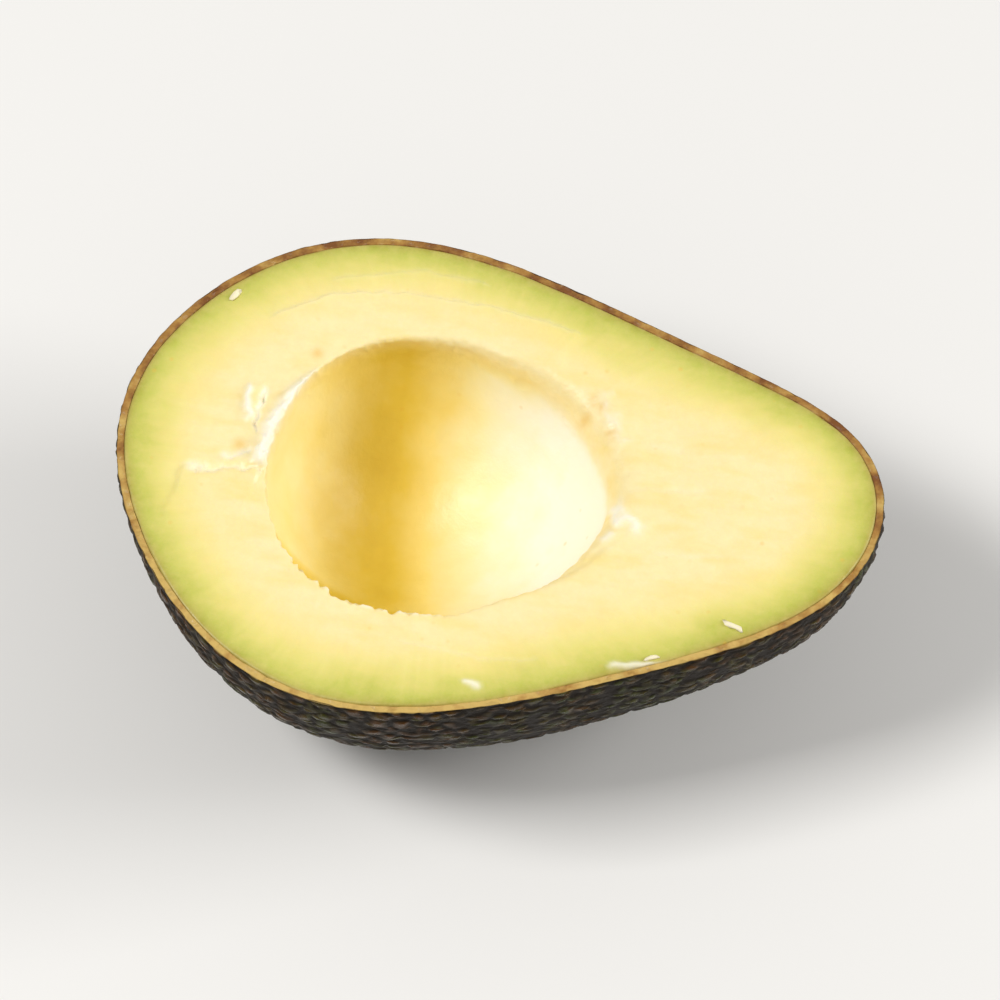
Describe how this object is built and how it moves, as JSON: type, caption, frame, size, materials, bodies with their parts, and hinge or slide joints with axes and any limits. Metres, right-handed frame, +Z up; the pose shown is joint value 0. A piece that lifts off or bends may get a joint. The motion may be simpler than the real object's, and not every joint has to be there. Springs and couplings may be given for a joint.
{
  "type": "avocado half",
  "caption": "Half of a ripe pebble-skinned avocado, cut lengthways with the stone taken out, lying on its rounded back with the cut face up.",
  "frame": {"origin": "on the surface the half rests on, under the middle of its bounding box", "axes": "+X from the blunt end to the neck, +Y across the fruit, +Z up out of the cut face"},
  "size_m": [0.095, 0.0678, 0.033],
  "materials": {
    "skin": "pebbled avocado skin, very dark green, semi-gloss",
    "flesh": "ripe avocado flesh, cream turning green at the skin, moist"
  },
  "bodies": {
    "root": {"skin": "skin", "flesh": "flesh"}
  },
  "joints": []
}
